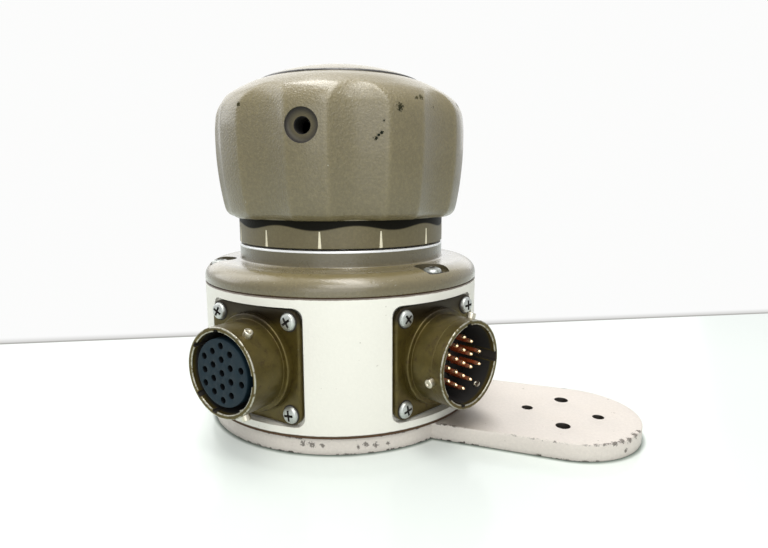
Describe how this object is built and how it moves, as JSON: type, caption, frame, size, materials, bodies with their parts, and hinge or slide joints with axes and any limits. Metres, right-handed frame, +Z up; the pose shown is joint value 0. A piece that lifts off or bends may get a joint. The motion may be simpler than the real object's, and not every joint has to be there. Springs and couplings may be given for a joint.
{
  "type": "focus demand",
  "caption": "Hand focus control for a broadcast camera lens: a lobed knob on a round case with two bayonet connectors and a flat mounting arm.",
  "frame": {"origin": "centre of the round base plate's underside, on the knob's axis", "axes": "+Z up along the knob's axis, +X out along the mounting arm, the two connectors on the -Y side"},
  "size_m": [0.124, 0.0894, 0.098],
  "materials": {
    "taupe_paint": "satin olive-taupe enamel, fine textured, with small chips and pale scuffs on its edges",
    "cream_paint": "semi-gloss cream-white enamel",
    "white_paint": "worn off-white enamel, chipped grey at its edges",
    "olive_plating": "olive-drab cadmium plating, worn bright on its rims",
    "zinc": "zinc-plated steel",
    "steel": "plain machined steel",
    "aluminium": "plain turned aluminium",
    "brass": "plain brass",
    "grey_rubber": "blue-grey moulded rubber",
    "black_plastic": "black moulded insert",
    "felt": "pressed felt",
    "board_green": "green lacquered circuit board",
    "wire_sleeve": "sleeved wire loom"
  },
  "bodies": {
    "case": {"base_plate": "white_paint", "base_screw_1": "zinc", "base_screw_2": "zinc", "base_screw_3": "zinc", "bearing_housing": "aluminium", "board_standoff_1": "brass", "board_standoff_2": "brass", "circuit_board": "board_green", "cover_screw_1": "zinc", "cover_screw_2": "zinc", "cover_screw_3": "zinc", "drag_pad": "felt", "drum_case": "cream_paint", "housing_screw_1": "zinc", "housing_screw_2": "zinc", "housing_screw_3": "zinc", "lower_ball_cage": "steel", "lower_bearing_outer": "steel", "pin_insert": "black_plastic", "pin_screw_1": "zinc", "pin_screw_2": "zinc", "pin_screw_3": "zinc", "pin_screw_4": "zinc", "pin_shell": "olive_plating", "pin_wires": "wire_sleeve", "pot_body": "aluminium", "pot_bracket": "aluminium", "pot_nut": "brass", "pot_wires": "wire_sleeve", "socket_insert": "grey_rubber", "socket_screw_1": "zinc", "socket_screw_2": "zinc", "socket_screw_3": "zinc", "socket_screw_4": "zinc", "socket_shell": "olive_plating", "socket_wires": "wire_sleeve", "stop_pin": "steel", "top_cover": "taupe_paint", "upper_ball_cage": "steel", "upper_bearing_outer": "steel"},
    "knob": {"drag_disc": "steel", "drag_spring": "steel", "drive_gear": "brass", "hub_screw_1": "zinc", "hub_screw_2": "zinc", "hub_screw_3": "zinc", "index_ring": "taupe_paint", "knob_cap": "taupe_paint", "knob_hub": "aluminium", "knob_set_screw": "steel", "knob_shell": "taupe_paint", "lower_bearing_inner": "steel", "main_shaft": "steel", "shaft_nut": "steel", "stop_sector": "steel", "upper_bearing_inner": "steel"},
    "pot_shaft": {"pot_gear": "brass", "pot_spindle": "steel"}
  },
  "joints": [
    {"name": "knob_turn", "type": "hinge", "parent": "case", "child": "knob", "pos_m": [0, 0, 0.0565], "axis": [0, 0, 1], "range_deg": [-150, 150]},
    {"name": "pot_turn", "type": "hinge", "parent": "case", "child": "pot_shaft", "pos_m": [-0.00921, 0.01831, 0.0156], "axis": [0, 0, 1], "range_deg": [-160, 160]}
  ],
  "couplings": [
    {"joint": "pot_turn", "follows": "knob_turn", "ratio": -1.05}
  ]
}
